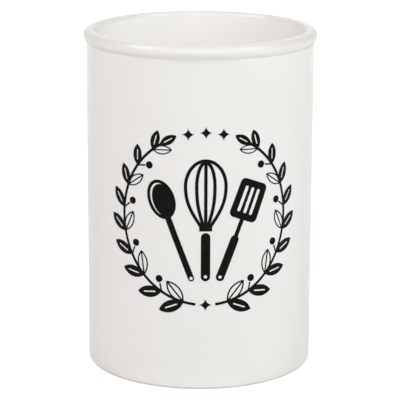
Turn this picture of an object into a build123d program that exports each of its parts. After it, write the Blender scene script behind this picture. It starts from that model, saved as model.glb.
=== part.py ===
from build123d import *
import os
from math import atan2, ceil, degrees, radians, sin, sqrt, tau

# A round stoneware crock for kitchen tools, glazed white, with a black print on its front.
# Lengths are in millimetres and angles in degrees. The foot stands on Z = 0 and the front faces -Y.

# The pot, measured over its glaze
height = 180.0
wall_diameter = 120.0
wall_thickness = 5.1
rim_overhang = 1.6
rim_rounding = 3.9
crease_rounding = 0.8
floor_thickness = 6.0
floor_rounding = 9.0

# The foot, which is left bare
heel_rounding = 0.9
foot_width = 9.1
foot_bevel = 0.7
recess_depth = 2.2
bare_band_share = 0.5

# The coats
glaze_thickness = 0.4
ink_thickness = 0.1

# The print, as lengths on the wall's surface
print_middle_share = 0.505
wreath_radius = 45.0
stem_width = 1.4
line_width = 1.7
fine_line = 0.8

leaf_length = 14.0
leaf_width = 6.4
leaf_spacing = 11.6
leaf_spread_angle = 36.0
smallest_leaf_share = 0.72
stem_start_angle = 6.5
stem_end_angle = 60.0

berry_diameter = 3.8
berry_gap = 0.4
stalk_length = 4.6
stalk_spread_angle = 48.0

# The three tools inside the wreath: each one's length is a share of the wreath's radius
tool_foot_share = 0.72
side_foot_share = 0.15
side_tilt_angle = 21.0

whisk_length_share = 1.42
whisk_handle_share = 0.40
whisk_loop_width_shares = [0.29, 0.13]
whisk_belly_share = 0.62
whisk_flare_share = 0.45
whisk_handle_width = 4.8
whisk_collar_width = 6.6
whisk_collar_height = 2.4
hanging_hole = 1.8

spoon_length_share = 1.24
bowl_length = 21.0
bowl_width = 14.5
spoon_handle_width = 3.2

turner_length_share = 1.22
blade_length = 21.0
blade_width = 15.5
blade_corner = 2.6
blade_slots = 3
turner_neck_width = 2.2
turner_handle_width = 4.4
turner_handle_share = 0.46

# Stars in the wreath's gaps, each placed at a share of the way round from the wreath's right
star_size = 6.4
star_waist_share = 0.17
star_place_shares = [0.218, 0.25, 0.282, 0.75]

# How finely the flat artwork is bent round the wall, and how far cuts run past what they cut
bend_step = 3.0
fewest_bends = 4
ring_bends = 12
overrun = 1.0

wall_radius = wall_diameter / 2
mouth_radius = wall_radius - wall_thickness
crown_radius = wall_radius + rim_overhang - rim_rounding
print_middle = height * print_middle_share
bare_band = recess_depth * bare_band_share


def clay_section():
    """Half of the fired clay's section, with the radius along X and the height along Y."""
    outside = wall_radius - glaze_thickness
    inside = mouth_radius + glaze_thickness
    top = height - glaze_thickness
    floor = recess_depth + floor_thickness - glaze_thickness
    recess = wall_radius - heel_rounding - foot_width

    bead = rim_rounding - glaze_thickness
    bead_middle = (crown_radius, top - bead)
    mouth_rounding = crown_radius - inside
    cove = floor_rounding + glaze_thickness

    # The crease below the rim is an arc that touches both the wall and the bead.
    crease = crease_rounding + glaze_thickness
    across = outside + crease - crown_radius
    down = sqrt((bead + crease) ** 2 - across ** 2)
    crease_middle = (outside + crease, bead_middle[1] - down)
    crease_angle = degrees(atan2(down, across))

    heel = heel_rounding
    outline = Line((0, recess_depth), (0, floor))
    outline += Line((0, floor), (inside - cove, floor))
    outline += CenterArc((inside - cove, floor + cove), cove, -90, 90)
    outline += Line((inside, floor + cove), (inside, top - mouth_rounding))
    outline += CenterArc((crown_radius, top - mouth_rounding), mouth_rounding, 180, -90)
    outline += CenterArc(bead_middle, bead, 90, -90 - crease_angle)
    outline += CenterArc(crease_middle, crease, 180 - crease_angle, crease_angle)
    outline += Line((outside, crease_middle[1]), (outside, heel))
    outline += CenterArc((outside - heel, heel), heel, 0, -90)
    outline += Line((outside - heel, 0), (recess + foot_bevel, 0))
    outline += Line((recess + foot_bevel, 0), (recess, foot_bevel))
    outline += Line((recess, foot_bevel), (recess, recess_depth))
    outline += Line((recess, recess_depth), (0, recess_depth))
    return make_face(outline)


def block(left, right, low, high):
    """A flat rectangle between two X places and two Y places."""
    return Pos((left + right) / 2, (low + high) / 2) * Rectangle(right - left, high - low)


def glaze_section(clay):
    """The coat of glaze round the clay's section, above the band that is left bare."""
    coated = offset(clay, glaze_thickness, kind=Kind.ARC)
    far_side = wall_radius + rim_overhang + overrun
    above_band = block(0, far_side, bare_band, height + overrun)
    return (coated - clay) & above_band


def turned(section):
    """Spin a half section round the pot's axis."""
    return revolve(Plane.XZ * section, Axis.Z)


def pot():
    """The clay and its three coats of glaze, which part at the rim's crown and at the bare foot."""
    clay = clay_section()
    glaze = glaze_section(clay)
    far_side = wall_radius + rim_overhang + overrun
    inside_floor = recess_depth + floor_thickness / 2
    outer = glaze & block(crown_radius, far_side, 0, height + overrun)
    inner = glaze & block(0, crown_radius, inside_floor, height + overrun)
    under = glaze & block(0, crown_radius, 0, inside_floor)
    return {
        "stoneware_body": turned(clay),
        "exterior_glaze": turned(outer),
        "interior_glaze": turned(inner),
        "base_glaze": turned(under),
    }


def on_wall(point):
    """Where a point of the flat artwork shows from the front, once it is bent round the wall."""
    return (wall_radius * sin(point.X / wall_radius), point.Y)


def bent_edge(edge):
    """An edge of the artwork, bent round the wall."""
    if edge.is_closed:
        ring = [on_wall(edge @ (step / ring_bends)) for step in range(ring_bends)]
        return Spline(*ring, periodic=True)
    bends = max(fewest_bends, ceil(edge.length / bend_step))
    return Spline(*[on_wall(edge @ (step / bends)) for step in range(bends + 1)])


def bent_face(face):
    """A face of the artwork, bent round the wall, with its holes."""
    outer = Wire([bent_edge(edge) for edge in face.outer_wire().edges()])
    holes = [Wire([bent_edge(edge) for edge in hole.edges()]) for hole in face.inner_wires()]
    return Face(outer, holes)


def fired_ink(artwork):
    """The artwork as a thin layer of ink that lies on the glaze of the front wall."""
    wall = Cylinder(wall_radius, height, align=(Align.CENTER, Align.CENTER, Align.MIN))
    coated = Cylinder(wall_radius + ink_thickness, height, align=(Align.CENTER, Align.CENTER, Align.MIN))
    film = coated - wall
    patches = []
    for face in (Pos(0, print_middle) * artwork).faces():
        column = extrude(Plane.XZ * bent_face(face), wall_radius + overrun, dir=(0, -1, 0))
        patches += (column & film).solids()
    return Compound(patches)


def mirrored(art):
    """The same artwork on the other side of the wreath."""
    return mirror(art, Plane.YZ)


def almond(length, width):
    """A leaf's outline, from its stalk end at the middle of the drawing along X."""
    above = ThreePointArc((0, 0), (length / 2, width / 2), (length, 0))
    below = ThreePointArc((length, 0), (length / 2, -width / 2), (0, 0))
    return make_face(above + below)


def solid_leaf(share):
    """A filled leaf with its vein left open."""
    length = leaf_length * share
    vein = Pos(length / 2, 0) * SlotOverall(length / 2, fine_line)
    return almond(length, leaf_width * share) - vein


def open_leaf(share):
    """A leaf drawn as a line, with its vein."""
    leaf = almond(leaf_length * share, leaf_width * share)
    vein = Pos(leaf_length * share / 2, 0) * Rectangle(leaf_length * share, fine_line)
    return (leaf - offset(leaf, -fine_line)) + (vein & leaf)


def stem_places():
    """The angles round the wreath where leaves grow, for the right-hand sprig."""
    first = stem_start_angle - 90
    sweep = stem_end_angle - first
    count = int(radians(sweep) * wreath_radius / leaf_spacing)
    return [first + sweep * (number + 1 / 2) / count for number in range(count)]


def at_stem(angle, turn):
    """A place on the stem, facing along it and then turned outwards."""
    return Rot(0, 0, angle) * Pos(wreath_radius, 0) * Rot(0, 0, 90 - turn)


def sprig():
    """The right-hand sprig: filled leaves outside the stem, open leaves and berry stalks inside."""
    first = stem_start_angle - 90
    art = trace(CenterArc((0, 0), wreath_radius, first, stem_end_angle - first), stem_width)
    places = stem_places()
    for number, angle in enumerate(places):
        share = 1 - (1 - smallest_leaf_share) * number / len(places)
        art += at_stem(angle, leaf_spread_angle) * solid_leaf(share)
        if number % 2:
            stalk = Pos(stalk_length / 2, 0) * Rectangle(stalk_length, fine_line)
            art += at_stem(angle, -stalk_spread_angle) * stalk
        else:
            art += at_stem(angle, -leaf_spread_angle) * open_leaf(share)
    return art + at_stem(stem_end_angle, 0) * Pos(-stem_width, 0) * solid_leaf(smallest_leaf_share)


def berries():
    """The right-hand berries, each just past the end of its stalk."""
    reach = stalk_length + berry_gap + berry_diameter / 2
    art = Sketch()
    for angle in stem_places()[1::2]:
        art += at_stem(angle, -stalk_spread_angle) * Pos(reach, 0) * Circle(berry_diameter / 2)
    return art


def hanging_bar(length, width):
    """A tool's handle that stands on the middle of the drawing, with a hole to hang it by."""
    bar = Pos(0, length / 2) * Rot(0, 0, 90) * SlotOverall(length, width)
    return bar - Pos(0, width / 2) * Circle(hanging_hole / 2)


def whisk():
    """A balloon whisk, standing on its handle."""
    length = wreath_radius * whisk_length_share
    handle = length * whisk_handle_share
    art = hanging_bar(handle, whisk_handle_width)
    collar_low = handle + fine_line
    art += Pos(0, collar_low + whisk_collar_height / 2) * Rectangle(whisk_collar_width, whisk_collar_height)
    root = collar_low + whisk_collar_height / 2
    rise = length - root - line_width / 2
    foot = whisk_collar_width / 2 - line_width
    belly = root + rise * whisk_belly_share
    for number, width_share in enumerate(whisk_loop_width_shares):
        top = (0, root + rise - number * line_width / 2)
        for side in (-1, 1):
            bottom = (side * foot / (number + 1), root)
            widest = (side * rise * width_share, belly)
            leaving = (side * width_share, whisk_flare_share)
            wire = Spline(bottom, widest, top, tangents=[leaving, (-side, 0)])
            art += trace(wire, line_width)
    art += trace(Line((0, root), (0, root + rise - line_width / 2)), line_width)
    return art


def spoon():
    """A wooden spoon, standing on its handle, with a bright edge left open in its bowl."""
    length = wreath_radius * spoon_length_share
    bowl_middle = length - bowl_length / 2
    bowl = Pos(0, bowl_middle) * Ellipse(bowl_width / 2, bowl_length / 2)
    inner = offset(bowl, -line_width)
    gleam = inner - Pos(fine_line, -fine_line) * inner
    handle = hanging_bar(bowl_middle, spoon_handle_width)
    return handle + bowl - gleam


def turner():
    """A slotted turner, standing on its handle."""
    length = wreath_radius * turner_length_share
    handle = length * turner_handle_share
    blade_low = length - blade_length
    blade = Pos(0, blade_low + blade_length / 2) * RectangleRounded(blade_width, blade_length, blade_corner)
    pitch = (blade_width - line_width) / (blade_slots + 1)
    for number in range(blade_slots):
        place = -(blade_width - line_width) / 2 + pitch * (number + 1)
        slot = Rot(0, 0, 90) * SlotOverall(blade_length * 2 / 3, pitch / 2)
        blade -= Pos(place, blade_low + blade_length / 2) * slot
    neck = block(-turner_neck_width / 2, turner_neck_width / 2, handle - fine_line, blade_low + line_width)
    return hanging_bar(handle, turner_handle_width) + neck + blade


def star():
    """A small star with four points and hollow sides."""
    tip = star_size / 2
    waist = star_size * star_waist_share
    sides = ThreePointArc((tip, 0), (waist, waist), (0, tip))
    sides += ThreePointArc((0, tip), (-waist, waist), (-tip, 0))
    sides += ThreePointArc((-tip, 0), (-waist, -waist), (0, -tip))
    sides += ThreePointArc((0, -tip), (waist, -waist), (tip, 0))
    return make_face(sides)


def stars():
    """Stars in the gaps at the top and the foot of the wreath."""
    art = Sketch()
    for share in star_place_shares:
        angle = degrees(tau * share)
        art += Rot(0, 0, angle) * Pos(wreath_radius, 0) * Rot(0, 0, -angle) * star()
    return art


def print_patches():
    """Every patch of the print, drawn flat round the middle of the wreath."""
    foot = -wreath_radius * tool_foot_share
    aside = wreath_radius * side_foot_share
    return {
        "print_whisk": Pos(0, foot) * whisk(),
        "print_spoon": Pos(-aside, foot) * Rot(0, 0, side_tilt_angle) * spoon(),
        "print_turner": Pos(aside, foot) * Rot(0, 0, -side_tilt_angle) * turner(),
        "print_left_sprig": mirrored(sprig()),
        "print_right_sprig": sprig(),
        "print_berries": berries() + mirrored(berries()),
        "print_stars": stars(),
    }


os.makedirs("parts", exist_ok=True)
nodes = pot()
for name, art in print_patches().items():
    nodes[name] = fired_ink(art)
for name, shape in nodes.items():
    export_step(shape, f"parts/{name}.step")
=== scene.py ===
from math import acos, asin, atan2, cos, hypot, pi, radians, sin, sqrt, tau

import bpy
from mathutils import Matrix, Vector
from mathutils.geometry import interpolate_bezier


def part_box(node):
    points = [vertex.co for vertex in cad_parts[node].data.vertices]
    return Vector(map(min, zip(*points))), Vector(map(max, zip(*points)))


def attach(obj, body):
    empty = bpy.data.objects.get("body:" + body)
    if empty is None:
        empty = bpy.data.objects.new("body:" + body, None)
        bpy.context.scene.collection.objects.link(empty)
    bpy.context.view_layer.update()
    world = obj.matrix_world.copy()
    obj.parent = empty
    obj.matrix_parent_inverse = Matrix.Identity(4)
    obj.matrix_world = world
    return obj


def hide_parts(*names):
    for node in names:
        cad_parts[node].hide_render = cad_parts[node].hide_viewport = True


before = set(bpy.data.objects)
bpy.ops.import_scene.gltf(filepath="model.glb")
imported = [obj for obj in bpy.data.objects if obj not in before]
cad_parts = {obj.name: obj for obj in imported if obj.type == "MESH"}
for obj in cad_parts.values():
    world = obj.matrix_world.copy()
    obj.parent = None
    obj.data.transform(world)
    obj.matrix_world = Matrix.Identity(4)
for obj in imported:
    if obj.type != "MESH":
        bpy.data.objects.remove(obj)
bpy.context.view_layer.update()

# Sizes of the pot over its glaze, in metres. Its height, rim and bare band come from the frame.
mm = 0.001
coat_low, coat_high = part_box("exterior_glaze")
height = coat_high.z
wall_thickness = 5.1 * mm
rim_overhang = 1.6 * mm
rim_rounding = 3.9 * mm
crease_rounding = 0.8 * mm
wall_radius = coat_high.x - rim_overhang
mouth_radius = wall_radius - wall_thickness
crown_radius = coat_high.x - rim_rounding
glaze_thickness = 0.4 * mm
glaze_pool = 0.5 * mm

heel_rounding = 0.9 * mm
foot_width = 9.1 * mm
foot_rounding = 0.7 * mm
recess_depth = 2.2 * mm
recess_radius = wall_radius - heel_rounding - foot_width
glaze_line = coat_low.z + glaze_thickness / 2
floor_thickness = 6.0 * mm
floor_height = recess_depth + floor_thickness
floor_rounding = 9.0 * mm

# Middles of the section's arcs, which the clay's face shares with the glaze's face
heel_middle = (wall_radius - glaze_thickness - heel_rounding, heel_rounding)
bead_middle = (crown_radius, height - rim_rounding)
crease_across = wall_radius + crease_rounding - crown_radius
crease_down = sqrt((rim_rounding + crease_rounding) ** 2 - crease_across ** 2)
crease_turn = atan2(crease_down, crease_across)
crease_middle = (wall_radius + crease_rounding, bead_middle[1] - crease_down)
mouth_middle = (crown_radius, height - crown_radius + mouth_radius)
cove_middle = (mouth_radius - floor_rounding, floor_height + floor_rounding)

# How finely the pot is turned, and its straight runs, the print's stems and the ink are divided
steps_round = 256
row_spacing = 8 * mm
stem_points = 61
ink_divisions = 2

# Edges sharper than this stay crisp, and points this close together are sewn into one
crisp_edge = radians(35)
pot_seam = 0.002 * mm
ink_seam = 0.001 * mm

# Sizes of the print, as lengths on the wall's surface
ink_thickness = 0.1 * mm
print_middle_share = 0.505
print_middle = print_middle_share * height
wreath_radius = 45.0 * mm
stem_width = 1.4 * mm
line_width = 1.7 * mm
fine_line = 0.8 * mm
leaf_length = 14.0 * mm
leaf_width = 6.4 * mm
leaf_spacing = 11.6 * mm
leaf_spread = radians(36)
smallest_leaf_share = 0.72
stem_start = radians(6.5 - 90)
stem_end = radians(60)
leaf_places = int((stem_end - stem_start) * wreath_radius / leaf_spacing)
berry_radius = 1.9 * mm
berry_gap = 0.4 * mm
stalk_length = 4.6 * mm
stalk_spread = radians(48)
star_size = 6.4 * mm
star_waist_share = 0.17
star_place_shares = (0.218, 0.25, 0.282, 0.75)

# The three tools inside the wreath, whose lengths follow the wreath's radius
tool_foot = -0.72 * wreath_radius
side_foot = 0.15 * wreath_radius
side_tilt = radians(21)
hanging_hole_radius = 0.9 * mm

whisk_length = 1.42 * wreath_radius
whisk_grip = 0.40 * whisk_length
whisk_grip_width = 4.8 * mm
collar_width = 6.6 * mm
collar_height = 2.4 * mm
wire_width_shares = (0.29, 0.13)
wire_flare_share = 0.26
wire_slope_share = 0.45
wire_swell_share = 0.36
wire_belly_share = 0.62

spoon_length = 1.24 * wreath_radius
spoon_grip_width = 3.2 * mm
bowl_length = 21.0 * mm
bowl_width = 14.5 * mm

turner_length = 1.22 * wreath_radius
turner_grip = 0.46 * turner_length
turner_grip_width = 4.4 * mm
turner_neck_width = 2.2 * mm
blade_length = 21.0 * mm
blade_width = 15.5 * mm
blade_corner = 2.6 * mm

# The camera, as fitted to the photographed outline, mouth, rim and crease
camera_distance = 1005.5 * mm
camera_height = 339.85 * mm
camera_pitch = 0.2471
camera_roll = 0.0042
camera_turn = radians(3)
focal_length = 173.76
sensor_width = 36.0
sideways_shift = 0.0010

# How far off the lamps hang, where the floor starts and ends its fade to white, and how far it reaches
lamp_distance = 2.6
fade_start = 0.4
fade_end = 1.2
floor_reach = 3.0


def arc(middle, radius, start, sweep, steps):
    """Points along an arc, with both its ends."""
    turns = [start + sweep * step / steps for step in range(steps + 1)]
    return [(middle[0] + radius * cos(turn), middle[1] + radius * sin(turn)) for turn in turns]


def joined(*stretches):
    """A section from its stretches in a row, with finer steps near the ends of its straight runs."""
    points = list(stretches[0])
    for stretch in stretches[1:]:
        (left, low), (right, high) = points[-1], stretch[0]
        steps = 1 + int(hypot(right - left, high - low) / row_spacing)
        for step in range(1, steps):
            share = (1 - cos(pi * step / steps)) / 2
            points.append((left + (right - left) * share, low + (high - low) * share))
        points += stretch
    return points


def rolled_edge(first, last):
    """The rounded edge in which a coat of glaze ends, from one of its faces to the other."""
    middle = ((first[0] + last[0]) / 2, (first[1] + last[1]) / 2)
    start = atan2(first[1] - middle[1], first[0] - middle[0])
    return arc(middle, hypot(last[0] - first[0], last[1] - first[1]) / 2, start, pi, steps=8)


def outer_face(cover, low):
    """The outer face from a height near the foot up to the rim's crown, over a cover of glaze or none."""
    heel = heel_rounding + cover
    start = asin(min(low - heel_rounding, 0) / heel)
    foot = arc(heel_middle, heel, start, -start, steps=10) if start else [(heel_middle[0] + heel, low)]
    crease = crease_rounding + glaze_thickness - cover
    bead = rim_rounding - glaze_thickness + cover
    return joined(
        foot,
        arc(crease_middle, crease, pi, -crease_turn, steps=10),
        arc(bead_middle, bead, -crease_turn, crease_turn + pi / 2, steps=32),
    )


def inner_face(cover):
    """The inner face from the rim's crown down to the middle of the floor."""
    mouth_rounding = crown_radius - mouth_radius - glaze_thickness + cover
    return joined(
        arc(mouth_middle, mouth_rounding, pi / 2, pi / 2, steps=20),
        arc(cove_middle, floor_rounding + glaze_thickness - cover, 0, -pi / 2, steps=16),
        [(0, floor_height - glaze_thickness + cover)],
    )


def clay_section():
    """The fired clay, from the middle of its base round to the middle of its floor."""
    foot_middle = (recess_radius + foot_rounding, foot_rounding)
    base = [(0, recess_depth), (recess_radius, recess_depth)]
    foot = arc(foot_middle, foot_rounding, pi, pi / 2, steps=6)
    return joined(base[:1], base[1:], foot, outer_face(0, 0), inner_face(0))


def outer_coat_section():
    """The outer coat of glaze, which ends in a rolled edge above the bare heel."""
    clay_side = outer_face(0, glaze_line)
    glaze_side = outer_face(glaze_thickness, glaze_line)
    return glaze_side + clay_side[::-1] + rolled_edge(clay_side[0], glaze_side[0])


def liner_coat_section():
    """The liner glaze, from the rim's crown down over the floor."""
    return inner_face(0)[::-1] + inner_face(glaze_thickness)


def base_coat_section():
    """The glaze in the recess under the base, thicker in its corner."""
    inside = recess_radius - glaze_thickness
    level = recess_depth - glaze_thickness
    corner = arc((inside - glaze_pool, level - glaze_pool), glaze_pool, pi / 2, -pi / 2, steps=6)
    edge = rolled_edge((inside, glaze_line), (recess_radius, glaze_line))
    return joined([(0, level)], corner, edge, [(recess_radius, recess_depth)], [(0, recess_depth)])


class Graph:
    """A node tree under construction, in which a feed is a value, a socket, a node or a list of those."""

    def __init__(self, tree):
        self.tree = tree

    def feed(self, socket, source):
        """Feed one input socket."""
        if isinstance(source, list):
            for single in source:
                self.feed(socket, single)
        elif isinstance(source, bpy.types.Node):
            self.tree.links.new(source.outputs[0], socket)
        elif isinstance(source, bpy.types.NodeSocket):
            self.tree.links.new(source, socket)
        else:
            socket.default_value = source

    def node(self, kind, feeds=None, **settings):
        """A node with its settings and its fed inputs."""
        made = self.tree.nodes.new(kind)
        for name, value in settings.items():
            setattr(made, name, value)
        for name, source in (feeds or {}).items():
            self.feed(made.inputs[name], source)
        return made

    def sum(self, operation, *values):
        """A sum on one to three values."""
        made = self.tree.nodes.new("ShaderNodeMath")
        made.operation = operation
        for socket, value in zip(made.inputs, values):
            self.feed(socket, value)
        return made.outputs[0]

    def point(self, x=0.0, y=0.0, z=0.0):
        """A vector from its three values."""
        return self.node("ShaderNodeCombineXYZ", {"X": x, "Y": y, "Z": z})

    def blend(self, share, first, second):
        """A colour between two colours."""
        mix = self.node("ShaderNodeMix", data_type="RGBA")
        for socket, source in zip((mix.inputs[0], mix.inputs[6], mix.inputs[7]), (share, first, second)):
            self.feed(socket, source)
        return mix.outputs[2]


class ShapeTree(Graph):
    """A Geometry Nodes tree: one geometry and named sizes go in, and one geometry comes out."""

    def __init__(self, name):
        super().__init__(bpy.data.node_groups.new(name, "GeometryNodeTree"))
        self.tree.interface.new_socket("Geometry", in_out="OUTPUT", socket_type="NodeSocketGeometry")
        self.way_in = self.tree.nodes.new("NodeGroupInput")
        self.given = self.size("Geometry", "Geometry")

    def size(self, name, kind="Float"):
        """A named input, such as a width, a count or a material."""
        self.tree.interface.new_socket(name, in_out="INPUT", socket_type="NodeSocket" + kind)
        return self.way_in.outputs[name]

    def sizes(self, *names):
        """Several named inputs that are plain numbers."""
        return [self.size(name) for name in names]

    def finish(self, mesh):
        """End the tree in real geometry, smooth but for its clear corners, with its material."""
        corner = self.sum("GREATER_THAN", self.node("GeometryNodeInputMeshEdgeAngle"), crisp_edge)
        real = self.node("GeometryNodeRealizeInstances", {"Geometry": mesh})
        smooth = self.node("GeometryNodeSetShadeSmooth", {"Geometry": real}, domain="FACE")
        feeds = {"Geometry": smooth, "Selection": corner, "Shade Smooth": False}
        shaded = self.node("GeometryNodeSetShadeSmooth", feeds, domain="EDGE")
        coated = {"Geometry": shaded, "Material": self.size("Finish", "Material")}
        way_out = self.tree.nodes.new("NodeGroupOutput")
        self.feed(way_out.inputs[0], self.node("GeometryNodeSetMaterial", coated))
        return self.tree


def turning_tree():
    """The potter's wheel: spins a section round the pot's axis."""
    tree = ShapeTree("potters_wheel")
    wheel = tree.size("Wheel Radius")
    # A circle carries the section's X outwards and its Y downwards, so the section is set out to suit.
    feeds = {"Geometry": tree.given, "Scale": (1, -1, 1)}
    feeds["Translation"] = tree.point(x=tree.sum("MULTIPLY", wheel, -1))
    section = tree.node("GeometryNodeTransform", feeds)
    feeds = {"Resolution": tree.size("Steps Round", "Int"), "Radius": wheel}
    circle = tree.node("GeometryNodeCurvePrimitiveCircle", feeds)
    spun = tree.node("GeometryNodeCurveToMesh", {"Curve": circle, "Profile Curve": section})
    outward = tree.node("GeometryNodeFlipFaces", {"Mesh": spun})
    feeds = {"Geometry": outward, "Distance": pot_seam}
    return tree.finish(tree.node("GeometryNodeMergeByDistance", feeds))


def filled(tree, drawing, thickness):
    """Closed outlines as flat ink, each part of the drawing filled by itself, and its open lines."""
    outlines = tree.node("GeometryNodeMeshToCurve", {"Mesh": drawing})
    feeds = {"Geometry": outlines, "Selection": tree.node("GeometryNodeInputSplineCyclic")}
    closed, lines = tree.node("GeometryNodeSeparateGeometry", feeds, domain="CURVE").outputs
    part = tree.node("GeometryNodeInputNamedAttribute", {"Name": "part"}, data_type="INT")
    patch = tree.node("GeometryNodeFillCurve", {"Curve": closed, "Group ID": part}, mode="NGONS")
    feeds = {"Mesh": patch, "Offset Scale": thickness, "Individual": False}
    raised = tree.node("GeometryNodeExtrudeMesh", feeds, mode="FACES")
    bottom = tree.node("GeometryNodeFlipFaces", {"Mesh": patch})
    whole = tree.node("GeometryNodeJoinGeometry", {"Geometry": [raised, bottom]})
    return tree.node("GeometryNodeMergeByDistance", {"Geometry": whole, "Distance": ink_seam}), lines


def pen_line(tree, path, width, thickness):
    """A line of ink along a flat path."""
    level = tree.node("GeometryNodeSetCurveNormal", {"Curve": path}, mode="Z_UP")
    nib = tree.node("GeometryNodeCurvePrimitiveQuadrilateral", {"Width": width, "Height": thickness})
    line = tree.node("GeometryNodeCurveToMesh", {"Curve": level, "Profile Curve": nib, "Fill Caps": True})
    lifted = tree.point(z=tree.sum("MULTIPLY", thickness, 0.5))
    return tree.node("GeometryNodeSetPosition", {"Geometry": line, "Offset": lifted})


def on_the_wall(tree, ink, side=1.0):
    """Fuse flat ink into whole patches, bend them round the wall in their place, and end the tree."""
    wall, middle = tree.sizes("Wall Radius", "Print Middle")
    feeds = {"Mesh": ink, "Self Intersection": True}
    fused = tree.node("GeometryNodeMeshBoolean", feeds, operation="UNION", solver="EXACT")
    pieces = tree.node("GeometryNodeTriangulate", {"Mesh": fused})
    fine = tree.node("GeometryNodeSubdivideMesh", {"Mesh": pieces, "Level": ink_divisions})
    place = tree.node("ShaderNodeSeparateXYZ", {"Vector": tree.node("GeometryNodeInputPosition")})
    turn = tree.sum("DIVIDE", tree.sum("MULTIPLY", place.outputs["X"], side), wall)
    reach = tree.sum("ADD", wall, place.outputs["Z"])
    x = tree.sum("MULTIPLY", reach, tree.sum("SINE", turn))
    y = tree.sum("MULTIPLY", reach, tree.sum("MULTIPLY", tree.sum("COSINE", turn), -1))
    z = tree.sum("ADD", place.outputs["Y"], middle)
    bent = tree.node("GeometryNodeSetPosition", {"Geometry": fine, "Position": tree.point(x, y, z)})
    over = tree.node("GeometryNodeFlipFaces", {"Mesh": bent})
    feeds = {"Switch": tree.sum("LESS_THAN", side, 0), "False": bent, "True": over}
    return tree.finish(tree.node("GeometryNodeSwitch", feeds, input_type="GEOMETRY"))


def stamp_tree():
    """Prints a flat drawing on the wall: its closed outlines are filled and its open lines are drawn."""
    tree = ShapeTree("stamp")
    thickness, width = tree.sizes("Ink Thickness", "Line Width")
    patches, lines = filled(tree, tree.given, thickness)
    return on_the_wall(tree, [patches, pen_line(tree, lines, width, thickness)])


def stem_places(tree, radius, first, last):
    """Evenly spaced points along the stem's arc, with the angle at each and its number."""
    count = tree.size("Leaf Places", "Int")
    number = tree.node("GeometryNodeInputIndex").outputs[0]
    share = tree.sum("DIVIDE", tree.sum("ADD", number, 0.5), count)
    angle = tree.sum("MULTIPLY_ADD", share, tree.sum("SUBTRACT", last, first), first)
    points = tree.node("GeometryNodePoints", {"Count": count, "Position": on_arc(tree, radius, angle)})
    return points, angle, number, tree.sum("DIVIDE", number, count)


def on_arc(tree, radius, angle):
    """A point at an angle on the wreath's circle."""
    x = tree.sum("MULTIPLY", radius, tree.sum("COSINE", angle))
    return tree.point(x, tree.sum("MULTIPLY", radius, tree.sum("SINE", angle)))


def grown(tree, points, shape, angle, turn, size=1.0, chosen=True):
    """A shape at each chosen point, turned away from the way in which the stem grows there."""
    facing = tree.sum("ADD", tree.sum("ADD", angle, pi / 2), turn)
    feeds = {"Points": points, "Instance": shape, "Selection": chosen}
    feeds["Rotation"] = tree.point(z=facing)
    feeds["Scale"] = tree.point(size, size, 1.0)
    growth = tree.node("GeometryNodeInstanceOnPoints", feeds)
    return tree.node("GeometryNodeRealizeInstances", {"Geometry": growth})


def sprig_tree():
    """Grows a sprig: filled leaves outside its stem, and open leaves and berry stalks by turns inside."""
    tree = ShapeTree("sprig")
    thickness, radius, first, last = tree.sizes("Ink Thickness", "Wreath Radius", "Stem Start", "Stem End")
    width, spread = tree.sizes("Stem Width", "Leaf Spread")
    smallest, aside = tree.sizes("Smallest Leaf", "Stalk Spread")
    shapes = []
    for name in ("Filled Leaf", "Open Leaf", "Stalk"):
        drawing = tree.node("GeometryNodeObjectInfo", {"Object": tree.size(name, "Object")})
        shapes.append(filled(tree, drawing.outputs["Geometry"], thickness)[0])
    leaf, open_leaf, stalk = shapes

    points, angle, number, along = stem_places(tree, radius, first, last)
    size = tree.sum("SUBTRACT", 1, tree.sum("MULTIPLY", along, tree.sum("SUBTRACT", 1, smallest)))
    odd = tree.sum("MODULO", number, 2)
    even = tree.sum("SUBTRACT", 1, odd)
    outward = tree.sum("MULTIPLY", spread, -1)
    tip_angle = tree.sum("SUBTRACT", last, tree.sum("DIVIDE", width, radius))
    tip = tree.node("GeometryNodePoints", {"Count": 1, "Position": on_arc(tree, radius, tip_angle)})
    growth = [
        grown(tree, points, leaf, angle, outward, size),
        grown(tree, points, open_leaf, angle, spread, size, even),
        grown(tree, points, stalk, angle, aside, 1.0, odd),
        grown(tree, tip, leaf, last, 0.0, smallest),
    ]
    feeds = {"Resolution": stem_points, "Radius": radius, "Start Angle": first}
    feeds["Sweep Angle"] = tree.sum("SUBTRACT", last, first)
    stem = tree.node("GeometryNodeCurveArc", feeds, mode="RADIUS")
    return on_the_wall(tree, [pen_line(tree, stem, width, thickness)] + growth, tree.size("Side"))


def berry_tree():
    """Sets a berry past the end of each stalk, on both sides of the wreath."""
    tree = ShapeTree("berries")
    thickness, radius, first, last = tree.sizes("Ink Thickness", "Wreath Radius", "Stem Start", "Stem End")
    berry = filled(tree, tree.given, thickness)[0]
    points, angle, number, _ = stem_places(tree, radius, first, last)
    odd = tree.sum("MODULO", number, 2)
    right = grown(tree, points, berry, angle, tree.size("Stalk Spread"), 1.0, odd)
    left = tree.node("GeometryNodeTransform", {"Geometry": right, "Scale": (-1, 1, 1)})
    return on_the_wall(tree, [right, tree.node("GeometryNodeFlipFaces", {"Mesh": left})])


def placed(loop, x=0.0, y=0.0, turn=0.0):
    """The same points, turned and then moved."""
    return [(x + u * cos(turn) - v * sin(turn), y + u * sin(turn) + v * cos(turn)) for u, v in loop]


def ellipse(middle, half_width, half_height, steps):
    """An ellipse as an outline."""
    circle = arc((0, 0), 1, 0, tau, steps)[1:]
    return [(middle[0] + half_width * u, middle[1] + half_height * v) for u, v in circle]


def bar(low, high, width):
    """A square-ended bar along Y, as an outline."""
    return [(-width / 2, low), (width / 2, low), (width / 2, high), (-width / 2, high)]


def slot(low, high, width):
    """A round-ended bar along Y, as an outline."""
    half = width / 2
    upper = arc((0, high - half), half, 0, pi, steps=8)
    return upper + arc((0, low + half), half, pi, pi, steps=8)


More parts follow.
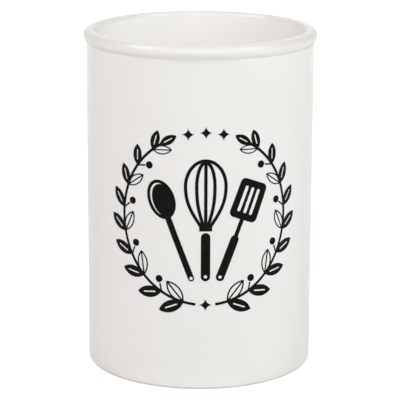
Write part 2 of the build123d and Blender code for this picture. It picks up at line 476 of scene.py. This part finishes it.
def leaf_side(inset=0.0, level=0.0):
    """The upper side of a leaf, drawn in from its edge and cut off at a level."""
    radius = (leaf_length ** 2 + leaf_width ** 2) / (4 * leaf_width)
    below = radius - leaf_width / 2
    reach = sqrt((radius - inset) ** 2 - (below + level) ** 2)
    half_turn = atan2(reach, below + level)
    return arc((leaf_length / 2, -below), radius - inset, pi / 2 + half_turn, -2 * half_turn, steps=12)


def leaf_outline():
    """A leaf's outline, from its stalk end at the drawing's middle along X."""
    upper = leaf_side()
    return upper + [(x, -y) for x, y in upper[-2:0:-1]]


def filled_leaf():
    """A filled leaf with its vein left open."""
    vein = slot(-leaf_length / 4, leaf_length / 4, fine_line)
    return [[leaf_outline(), placed(vein, leaf_length / 2, 0, pi / 2)]]


def open_leaf():
    """A leaf drawn as a line, with its vein."""
    gap = leaf_side(fine_line, fine_line / 2)
    return [[leaf_outline(), gap, [(x, -y) for x, y in gap]]]


def hanging_bar(length, width):
    """A tool's handle that stands on the drawing's middle, with a hole to hang it by."""
    hole = ellipse((0, width / 2), hanging_hole_radius, hanging_hole_radius, steps=16)
    return [slot(0, length, width), hole]


def whisk():
    """A balloon whisk: its handle and collar, and its five wires as open lines."""
    collar_low = whisk_grip + fine_line
    root = collar_low + collar_height / 2
    rise = whisk_length - root - line_width / 2
    foot = collar_width / 2 - line_width
    wires = [[(0, root), (0, root + rise)]]
    for number, width_share in enumerate(wire_width_shares):
        top = root + rise - number * line_width / 2
        half, belly = width_share * rise, root + wire_belly_share * rise
        # Below its widest place a wire is one smooth curve, and above it a quarter of an ellipse.
        start = Vector((foot / (number + 1), root))
        flare = start + wire_flare_share * rise * Vector((width_share, wire_slope_share)).normalized()
        below = Vector((half, root + wire_swell_share * rise))
        ends = [point.to_3d() for point in (start, flare, below, Vector((half, belly)))]
        lower = [tuple(point.xy) for point in interpolate_bezier(*ends, 24)]
        quarter = arc((0, 0), 1, 0, pi / 2, steps=24)
        upper = [(half * u, belly + (top - belly) * v) for u, v in quarter]
        side = lower[:-1] + upper
        wires.append(side + [(-x, y) for x, y in side[-2::-1]])
    collar = bar(collar_low, collar_low + collar_height, collar_width)
    return [hanging_bar(whisk_grip, whisk_grip_width), [collar]], wires


def spoon():
    """A wooden spoon, with a bright edge left open in its bowl."""
    middle = (0, spoon_length - bowl_length / 2)
    across, up = bowl_width / 2 - line_width, bowl_length / 2 - line_width
    # The bright edge lies between an ellipse and the same ellipse moved to the right and down.
    moved = Vector((fine_line / across, -fine_line / up))
    facing = atan2(moved.y, moved.x)
    half_turn = acos(moved.length / 2)
    far = arc((0, 0), 1, facing + half_turn, tau - 2 * half_turn, steps=32)
    near = arc(moved, 1, facing + pi + half_turn, -2 * half_turn, steps=32)
    gleam = [(u * across, middle[1] + v * up) for u, v in far + near[1:-1]]
    bowl = ellipse(middle, bowl_width / 2, bowl_length / 2, steps=64)
    return [[bowl, gleam], hanging_bar(middle[1], spoon_grip_width)]


def turner():
    """A slotted turner: its handle, neck and blade."""
    middle = turner_length - blade_length / 2
    across, along = blade_width / 2 - blade_corner, blade_length / 2 - blade_corner
    blade = []
    for number, (right, up) in enumerate([(1, -1), (1, 1), (-1, 1), (-1, -1)]):
        corner_middle = (right * across, middle + up * along)
        blade += arc(corner_middle, blade_corner, (number - 1) * pi / 2, pi / 2, steps=8)
    pitch = (blade_width - line_width) / 4
    opening = slot(-blade_length / 3, blade_length / 3, pitch / 2)
    slots = [placed(opening, pitch * place, middle) for place in (-1, 0, 1)]
    neck_top = turner_length - blade_length + line_width
    neck = bar(turner_grip - fine_line, neck_top, turner_neck_width)
    return [[blade] + slots, [neck], hanging_bar(turner_grip, turner_grip_width)]


def star():
    """A small star with four points and hollow sides."""
    tip, waist = star_size / 2, star_waist_share * star_size
    # Each side is the arc through two tips and the waist between them.
    middle = (tip ** 2 - 2 * waist ** 2) / (2 * (tip - 2 * waist))
    start = atan2(-middle, tip - middle)
    sweep = atan2(tip - middle, -middle) - start
    side = arc((middle, middle), hypot(middle, middle - tip), start, sweep, steps=10)[:-1]
    return [point for quarter in range(4) for point in placed(side, turn=quarter * pi / 2)]


def section_curve(points, closed=False):
    """A section of the pot as a curve, with the radius along X and the height along Y."""
    curve = bpy.data.curves.new("section", "CURVE")
    spline = curve.splines.new("POLY")
    spline.points.add(len(points) - 1)
    for place, (radius, level) in zip(spline.points, points):
        place.co = (radius, level, 0, 1)
    spline.use_cyclic_u = closed
    return linked("section", curve)


def flat_drawing(parts, lines=()):
    """A drawing as a mesh of loose edges: each part is an outline with its holes, and lines are open."""
    places, edges, numbers = [], [], []
    for number, loops in enumerate(list(parts) + [lines]):
        for loop in loops:
            first, last = len(places), len(places) + len(loop) - 1
            places += loop
            edges += [(place, place + 1) for place in range(first, last)]
            if number < len(parts):
                edges.append((last, first))
            numbers += [number] * len(loop)
    mesh = bpy.data.meshes.new("drawing")
    mesh.from_pydata([(x, y, 0) for x, y in places], edges, [])
    mesh.attributes.new("part", "INT", "POINT").data.foreach_set("value", numbers)
    return linked("drawing", mesh)


def linked(name, data):
    """An object in the scene."""
    made = bpy.data.objects.new(name, data)
    bpy.context.scene.collection.objects.link(made)
    return made


def made_by(tree, name, start, finish, **sizes):
    """The plain mesh that a tree makes from a curve or drawing with these sizes, as a piece."""
    modifier = start.modifiers.new("tree", "NODES")
    modifier.node_group = tree
    sockets = {item.name: item.identifier for item in tree.interface.items_tree if item.in_out == "INPUT"}
    for size, value in {**sizes, "finish": finish}.items():
        modifier[sockets[size.replace("_", " ").title()]] = value
    shaped = start.evaluated_get(bpy.context.evaluated_depsgraph_get())
    mesh = bpy.data.meshes.new_from_object(shaped)
    start.modifiers.remove(modifier)
    bpy.data.objects.remove(start)
    mesh.name = name
    return linked(name, mesh)


class Finish(Graph):
    """A material under construction, with patterns that follow the object's own coordinates."""

    def __init__(self, name):
        self.material = bpy.data.materials.new(name)
        self.material.use_nodes = True
        super().__init__(self.material.node_tree)
        self.shader = self.tree.nodes["Principled BSDF"]
        self.shader.inputs["IOR"].default_value = 1.5
        self.where = self.node("ShaderNodeTexCoord").outputs["Object"]
        self.bumps = None

    def noise(self, feature, detail=2.0, roughness=0.5):
        """An uneven pattern from 0 to 1, whose features are about this long."""
        feeds = {"Vector": self.where, "Scale": 1 / feature, "Detail": detail, "Roughness": roughness}
        return self.node("ShaderNodeTexNoise", feeds).outputs["Fac"]

    def between(self, pattern, low, high, first, last):
        """The pattern's stretch from low to high, spread between two values."""
        feeds = {"Value": pattern, "From Min": low, "From Max": high, "To Min": first, "To Max": last}
        return self.node("ShaderNodeMapRange", feeds).outputs[0]

    def relief(self, pattern, depth):
        """Raise and sink the surface by a pattern, on top of the relief so far."""
        feeds = {"Height": pattern, "Distance": depth}
        if self.bumps:
            feeds["Normal"] = self.bumps
        self.bumps = self.node("ShaderNodeBump", feeds).outputs[0]
        self.feed(self.shader.inputs["Normal"], self.bumps)


def white_glaze(name, colour, shade):
    """Satin white glaze: faint drifts of tone, fine specks, painted shade on the rim's crown, and the
    ripple of a fired surface.
    """
    crown_painted_shade = (0.76, 0.75, 0.725, 1)
    speck_brown = (0.52, 0.46, 0.38, 1)
    glaze = Finish(name)
    tone = glaze.between(glaze.noise(60 * mm, detail=0.0), 0.2, 0.8, 0, 1)
    speck = glaze.between(glaze.noise(0.9 * mm, detail=1.0), 0.72, 0.82, 0, 0.08)
    drifted = glaze.blend(tone, (*colour, 1), (*shade, 1))
    # Painted shade: the rim's crown is painted darker and a little warmer, which holds down its brightness
    # under the lamps above.
    level = glaze.node("ShaderNodeSeparateXYZ", {"Vector": glaze.where}).outputs["Z"]
    thin_ink_and_crown_shade = glaze.between(level, height - 3.2 * mm, height - 0.6 * mm, 0, 1)
    ground = glaze.blend(thin_ink_and_crown_shade, drifted, crown_painted_shade)
    glaze.feed(glaze.shader.inputs["Base Color"], glaze.blend(speck, ground, speck_brown))
    # The glassy skin is the shader's coat, over a body that scatters light without a shine of its own.
    glaze.shader.inputs["Specular IOR Level"].default_value = 0.0
    glaze.shader.inputs["Coat Weight"].default_value = 0.45
    gloss = glaze.between(glaze.noise(30 * mm, detail=0.0), 0.2, 0.8, 0.08, 0.12)
    glaze.feed(glaze.shader.inputs["Coat Roughness"], gloss)
    glaze.relief(glaze.noise(26 * mm, detail=0.0), 0.02 * mm)
    glaze.relief(glaze.noise(1.8 * mm, detail=1.0), 0.003 * mm)
    glaze.feed(glaze.shader.inputs["Coat Normal"], glaze.bumps)
    return glaze.material


def fired_clay():
    """Bare fired stoneware: a buff, sandy ground with darker grains and open pores."""
    pale_buff = (0.89, 0.85, 0.79, 1)
    warm_buff = (0.78, 0.73, 0.66, 1)
    iron_brown = (0.34, 0.26, 0.19, 1)
    clay = Finish("bare_clay")
    grain = clay.between(clay.noise(0.7 * mm, detail=3.0, roughness=0.7), 0.3, 0.7, 0, 1)
    ground = clay.blend(grain, warm_buff, pale_buff)
    iron = clay.between(clay.noise(1.3 * mm, detail=1.0), 0.66, 0.72, 0, 0.6)
    clay.feed(clay.shader.inputs["Base Color"], clay.blend(iron, ground, iron_brown))
    clay.feed(clay.shader.inputs["Roughness"], clay.between(grain, 0, 1, 0.92, 0.78))
    clay.relief(clay.noise(3 * mm), 0.05 * mm)
    clay.relief(grain, 0.04 * mm)
    return clay.material


def black_ink():
    """Black ink fired onto the glaze: satin, a little thinner in places, with the glaze's ripple."""
    full_black = (0.004, 0.004, 0.004, 1)
    thin_black = (0.009, 0.008, 0.008, 1)
    ink = Finish("fired_black_ink")
    thin_ink_and_crown_shade = ink.between(ink.noise(2.2 * mm, detail=3.0), 0.45, 0.75, 0, 1)
    ink.feed(ink.shader.inputs["Base Color"], ink.blend(thin_ink_and_crown_shade, full_black, thin_black))
    ink.shader.inputs["Specular IOR Level"].default_value = 0.05
    ink.feed(ink.shader.inputs["Roughness"], ink.between(thin_ink_and_crown_shade, 0, 1, 0.30, 0.42))
    ink.relief(ink.noise(20 * mm, detail=1.0), 0.05 * mm)
    ink.relief(ink.noise(0.5 * mm, detail=2.0), 0.002 * mm)
    return ink.material


def placed_for(piece, node):
    """Enter a piece in the frame: it rides on the pot and stands for its solid."""
    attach(piece, "root")
    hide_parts(node)


def turn_pot():
    """The fired pot and its three coats of glaze."""
    wheel = turning_tree()
    outside_white = white_glaze("outer_white", (0.88, 0.872, 0.85), (0.872, 0.862, 0.838))
    # The liner is painted a lighter white than the outer coat: painted light that brightens the pot's
    # inside.
    liner_white = white_glaze("liner_white", (0.965, 0.957, 0.932), (0.958, 0.949, 0.922))
    # The outer coat's section is a closed loop, and the others start and end on the pot's axis.
    turned = [
        ("fired_pot", "stoneware_body", "fired_clay", fired_clay(), clay_section(), False),
        ("outer_coat", "exterior_glaze", "white_glaze", outside_white, outer_coat_section(), True),
        ("liner_coat", "interior_glaze", "liner_glaze", liner_white, liner_coat_section(), False),
        ("base_coat", "base_glaze", "white_glaze", outside_white, base_coat_section(), False),
    ]
    sizes = {"wheel_radius": wall_radius, "steps_round": steps_round}
    for name, node, slot_name, finish, section, closed in turned:
        piece = made_by(wheel, name, section_curve(section, closed), finish, **sizes)
        placed_for(piece, node)


def stamp_tools_and_stars(ink):
    """The three tools inside the wreath, and the stars in its gaps."""
    stamp = stamp_tree()
    parts, wires = whisk()
    sizes = {"ink_thickness": ink_thickness, "wall_radius": wall_radius, "print_middle": print_middle}
    drawings = {
        "whisk": flat_drawing(moved_parts(parts, 0), [placed(wire, 0, tool_foot) for wire in wires]),
        "spoon": flat_drawing(moved_parts(spoon(), -side_foot, side_tilt)),
        "turner": flat_drawing(moved_parts(turner(), side_foot, -side_tilt)),
        "stars": flat_drawing([[placed(star(), *round_the_wreath(share))] for share in star_place_shares]),
    }
    for name, drawing in drawings.items():
        piece = made_by(stamp, name + "_print", drawing, ink, line_width=line_width, **sizes)
        placed_for(piece, "print_" + name)


def moved_parts(parts, aside, tilt=0.0):
    """A tool's drawing, stood in its place inside the wreath."""
    return [[placed(loop, aside, tool_foot, tilt) for loop in loops] for loops in parts]


def round_the_wreath(share):
    """A place on the wreath's circle, at a share of the way round from the wreath's right."""
    return wreath_radius * cos(tau * share), wreath_radius * sin(tau * share)


def grow_sprigs(ink):
    """The wreath's two sprigs and its berries."""
    sizes = {
        "ink_thickness": ink_thickness,
        "wreath_radius": wreath_radius,
        "stem_start": stem_start,
        "stem_end": stem_end,
        "leaf_places": leaf_places,
        "stalk_spread": stalk_spread,
        "wall_radius": wall_radius,
        "print_middle": print_middle,
    }
    stalk = placed(bar(0, stalk_length, fine_line), turn=-pi / 2)
    shapes = {
        "filled_leaf": flat_drawing(filled_leaf()),
        "open_leaf": flat_drawing(open_leaf()),
        "stalk": flat_drawing([[stalk]]),
    }
    sprig = sprig_tree()
    growth = {"stem_width": stem_width, "leaf_spread": leaf_spread, "smallest_leaf": smallest_leaf_share}
    for name, side in (("left_sprig", -1.0), ("right_sprig", 1.0)):
        start = flat_drawing([])
        piece = made_by(sprig, name + "_print", start, ink, side=side, **sizes, **growth, **shapes)
        placed_for(piece, "print_" + name)
    for drawing in shapes.values():
        bpy.data.objects.remove(drawing)
    berry_middle = (stalk_length + berry_gap + berry_radius, 0)
    berry = flat_drawing([[ellipse(berry_middle, berry_radius, berry_radius, steps=32)]])
    placed_for(made_by(berry_tree(), "berry_print", berry, ink, **sizes), "print_berries")


def seen_directly(graph):
    """Whether a ray comes from the camera, a reflection or a clear material, as 1 or 0."""
    rays = graph.node("ShaderNodeLightPath").outputs
    straight = graph.sum("MAXIMUM", rays["Is Camera Ray"], rays["Is Glossy Ray"])
    return graph.sum("MAXIMUM", straight, rays["Is Transmission Ray"])


def light_room(colour):
    """An even pale room that lights the pot in this colour, and is plain white where it is seen."""
    world = bpy.data.worlds.new("pale_room")
    world.use_nodes = True
    bpy.context.scene.world = world
    room = Graph(world.node_tree)
    shown = room.blend(seen_directly(room), (*colour, 1), (1, 1, 1, 1))
    room.feed(room.tree.nodes["Background"].inputs["Color"], shown)


def lay_floor(colour, lift):
    """A plain pale floor that keeps the pot's shadow, lifted to white where it is seen."""
    corners = [(-floor_reach, -floor_reach, 0), (floor_reach, -floor_reach, 0)]
    corners += [(floor_reach, floor_reach, 0), (-floor_reach, floor_reach, 0)]
    mesh = bpy.data.meshes.new("floor")
    mesh.from_pydata(corners, [], [(0, 1, 2, 3)])
    floor = linked("floor", mesh)
    material = bpy.data.materials.new("pale_floor")
    material.use_nodes = True
    paint = Graph(material.node_tree)
    matt = paint.node("ShaderNodeBsdfDiffuse", {"Color": (*colour, 1)})
    # Farther off, where the lamps hardly reach, the floor is lifted all the way to white.
    where = paint.node("ShaderNodeTexCoord").outputs["Object"]
    away = paint.node("ShaderNodeVectorMath", {"Vector": where}, operation="LENGTH").outputs["Value"]
    feeds = {"Value": away, "From Min": fade_start, "From Max": fade_end, "To Min": lift, "To Max": 1.0}
    level = paint.sum("MULTIPLY", seen_directly(paint), paint.node("ShaderNodeMapRange", feeds))
    glow = paint.node("ShaderNodeEmission", {"Strength": level})
    both = paint.node("ShaderNodeAddShader")
    paint.feed(both.inputs[0], matt)
    paint.feed(both.inputs[1], glow)
    paint.feed(paint.tree.nodes["Material Output"].inputs["Surface"], both)
    mesh.materials.append(material)


def hang_softbox(name, bearing, rise, size, power, colour=(1, 1, 1), shines=True):
    """A soft square lamp, at a bearing to the right of the front, that faces the pot's middle."""
    lamp = bpy.data.lights.new(name, "AREA")
    lamp.shape = "SQUARE"
    lamp.size = size
    lamp.energy = power
    lamp.color = colour
    away = Vector((cos(rise) * sin(bearing), -cos(rise) * cos(bearing), sin(rise)))
    place = Matrix.Translation(Vector((0, 0, height / 2)) + lamp_distance * away)
    softbox = linked(name, lamp)
    softbox.matrix_world = place @ away.to_track_quat("Z", "Y").to_matrix().to_4x4()
    # A fill lamp leaves no mirrored square of its own in the glaze.
    softbox.visible_glossy = shines


def set_camera():
    """The camera of the photograph, turned a little to the left of the print's middle."""
    camera = bpy.data.cameras.new("camera")
    camera.sensor_width = sensor_width
    camera.lens = focal_length
    camera.shift_x = sideways_shift
    holder = linked("camera", camera)
    place = Matrix.Translation((0, -camera_distance, camera_height))
    tilt = Matrix.Rotation(pi / 2 - camera_pitch, 4, "X") @ Matrix.Rotation(camera_roll, 4, "Z")
    holder.matrix_world = Matrix.Rotation(-camera_turn, 4, "Z") @ place @ tilt
    bpy.context.scene.camera = holder


turn_pot()
ink = black_ink()
stamp_tools_and_stars(ink)
grow_sprigs(ink)

lay_floor((0.66, 0.66, 0.655), lift=0.66)
light_room((0.06, 0.06, 0.06))
hang_softbox("right_softbox", radians(60), radians(46), size=1.2, power=30.5)
hang_softbox("left_softbox", radians(-75), radians(45), size=1.0, power=33.0, colour=(1.0, 0.965, 0.955))
hang_softbox("front_fill", radians(8), radians(16), size=1.3, power=26.5, shines=False)
hang_softbox("back_fill", radians(180), radians(30), size=1.6, power=40.0, shines=False)
set_camera()
bpy.context.scene.view_settings.view_transform = "Standard"
